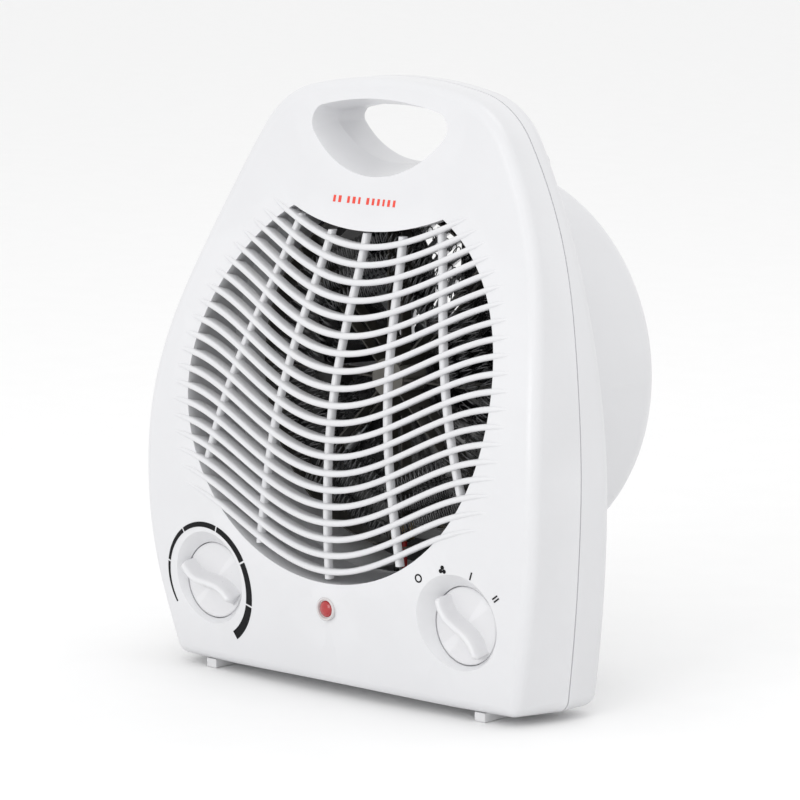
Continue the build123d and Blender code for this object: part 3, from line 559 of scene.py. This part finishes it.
def print_patch(rail0, rail1):
    """A thin printed strip on the face between two rails of (x, z)."""
    rings = []
    for (x0, z0), (x1, z1) in zip(rail0, rail1):
        y0, y1 = face_y(x0, z0), face_y(x1, z1)
        rings.append([at(x0, y0 - PRINT_PROUD, z0), at(x1, y1 - PRINT_PROUD, z1),
                      at(x1, y1 + PRINT_SUNK, z1), at(x0, y0 + PRINT_SUNK, z0)])
    return tube_mesh(rings)


def polar(cx, cz, r, degrees):
    a = math.radians(degrees)
    return cx + r * math.cos(a), cz + r * math.sin(a)


def arc_patch(cx, cz, r0, outer, a0, a1, steps=24):
    """A printed arc; outer gives the outer radius at an angle."""
    angles = [a0 + (a1 - a0) * (k / steps) for k in range(steps + 1)]
    return print_patch([polar(cx, cz, r0, a) for a in angles], [polar(cx, cz, outer(a), a) for a in angles])


def bar_patch(cx, cz, length, width, degrees):
    """A printed bar that runs at an angle."""
    a = math.radians(degrees)
    ux, uz = math.cos(a), math.sin(a)
    rail0 = []
    rail1 = []
    for s in (-0.5, 0.0, 0.5):
        x = cx + ux * length * s
        z = cz + uz * length * s
        rail0.append((x - uz * width / 2, z + ux * width / 2))
        rail1.append((x + uz * width / 2, z - ux * width / 2))
    return print_patch(rail0, rail1)


def thermostat_outer(a):
    """The arc's outer radius, which grows from its thin end to its thick one."""
    return ARC_R + ARC_THIN + ARC_GROWTH * (ARC_CUTS[0] - a) / (ARC_CUTS[0] - ARC_CUTS[-1])


marks = []
for a0, a1 in zip(ARC_CUTS, ARC_CUTS[1:]):
    marks.append(arc_patch(-DIAL_X, DIAL_Z, ARC_R, thermostat_outer, a0 - ARC_HALF_GAP, a1 + ARC_HALF_GAP))
marks.append(arc_patch(*polar(DIAL_X, DIAL_Z, *RING_AT), 1.15, lambda a: 1.75, 0, 360, 40))
for k in range(3):
    petal = polar(*polar(DIAL_X, DIAL_Z, *FAN_AT), 0.98, 120 * k + 90)
    marks.append(arc_patch(*petal, 0.02, lambda a: 0.84, 0, 360))
marks.append(bar_patch(*polar(DIAL_X, DIAL_Z, *ONE_BAR_AT), 3.2, 0.62, 71))
two_x, two_z = polar(DIAL_X, DIAL_Z, *TWO_BARS_AT)
two_angle = math.radians(TWO_BARS_AT[1])
for shift in (-0.62, 0.62):
    marks.append(bar_patch(two_x - math.sin(two_angle) * shift, two_z + math.cos(two_angle) * shift,
                           2.9, 0.58, TWO_BARS_AT[1]))
build("printed_marks", *join(marks), PRINT_BLACK, "case", "shell_white", 30)

dashes = []
x = DASH_START
for width in DASHES:
    if width:
        dashes.append(bar_patch(x + width / 2 + 0.6, DASH_Z, width, DASH_HEIGHT, 0))
    x += (width + DASH_GAP) if width else WORD_GAP
build("red_dashes", *join(dashes), PRINT_RED, "case", "shell_white", 30)

# ---------------------------------------------------------------- pilot light
PILOT_Z = 36
LENS = [(0.05, -1.35), (1.2, -1.25), (2.3, -0.95), (3.1, -0.45), (3.5, 0.2), (3.58, 1.0), (3.58, 6.9),
        (2.5, 7.0), (2.4, 2.5), (0.05, 2.5)]
COLLAR = [(3.6, -0.1), (3.7, -0.75), (4.0, -1.0), (4.4, -0.95), (4.7, -0.6), (4.75, 0.05), (3.6, 0.05)]

lens = build("pilot_lens", *revolved(0, PILOT_Z, LENS), MATS["lens_red"], "case", "lens_red", 40)
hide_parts("indicator_lens")
collar = build("pilot_rim", *revolved(0, PILOT_Z, COLLAR), MATS["rim_white"], "case", "rim_white", 40)
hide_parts("lens_rim")

# ---------------------------------------------------------------- floor, light and camera
floor_mesh = bpy.data.meshes.new("floor")
bm = bmesh.new()
bmesh.ops.create_grid(bm, x_segments=1, y_segments=1, size=6.0)
bm.to_mesh(floor_mesh)
bm.free()
floor = add("floor", floor_mesh)
floor_mesh.materials.append(material("floor_pale", (0.90, 0.90, 0.90), 0.75, spec=0.2, vary=0.004, bump=0.0))


def area(name, place, aim, side, power):
    """A square soft light; place and aim in metres, power in watts."""
    light = bpy.data.lights.new(name, "AREA")
    light.shape = "RECTANGLE"
    light.size = light.size_y = side
    light.energy = power
    obj = add(name, light)
    obj.location = place
    obj.rotation_euler = (Vector(place) - Vector(aim)).to_track_quat("Z", "Y").to_euler()


area("key", (0.3, -2.2, 0.8), (0, 0, 0.12), 1.2, 11.5)
area("fill", (1.2, -1.4, 1.7), (0, 0, 0.12), 0.8, 2.0)
area("top", (0.4, 0.2, 2.0), (0, 0, 0.1), 0.9, 4.0)

world = bpy.data.worlds.new("studio")
bpy.context.scene.world = world
world.use_nodes = True
world.node_tree.nodes["Background"].inputs["Color"].default_value = (1.0, 1.0, 1.0, 1)
world.node_tree.nodes["Background"].inputs["Strength"].default_value = 1.0

azimuth = math.radians(41.99)
elevation = math.radians(8.8945)
towards_camera = Vector((math.sin(azimuth) * math.cos(elevation), -math.cos(azimuth) * math.cos(elevation),
                         math.sin(elevation)))
camera_data = bpy.data.cameras.new("camera")
camera_data.lens = 189.05
camera_data.sensor_width = 36
camera_data.clip_end = 20
camera = add("camera", camera_data)
camera.location = (1.1083, -1.2414, 0.3736)
camera.rotation_euler = towards_camera.to_track_quat("Z", "Y").to_euler()
bpy.context.scene.camera = camera
bpy.context.scene.view_settings.view_transform = "Standard"

bpy.context.view_layer.update()
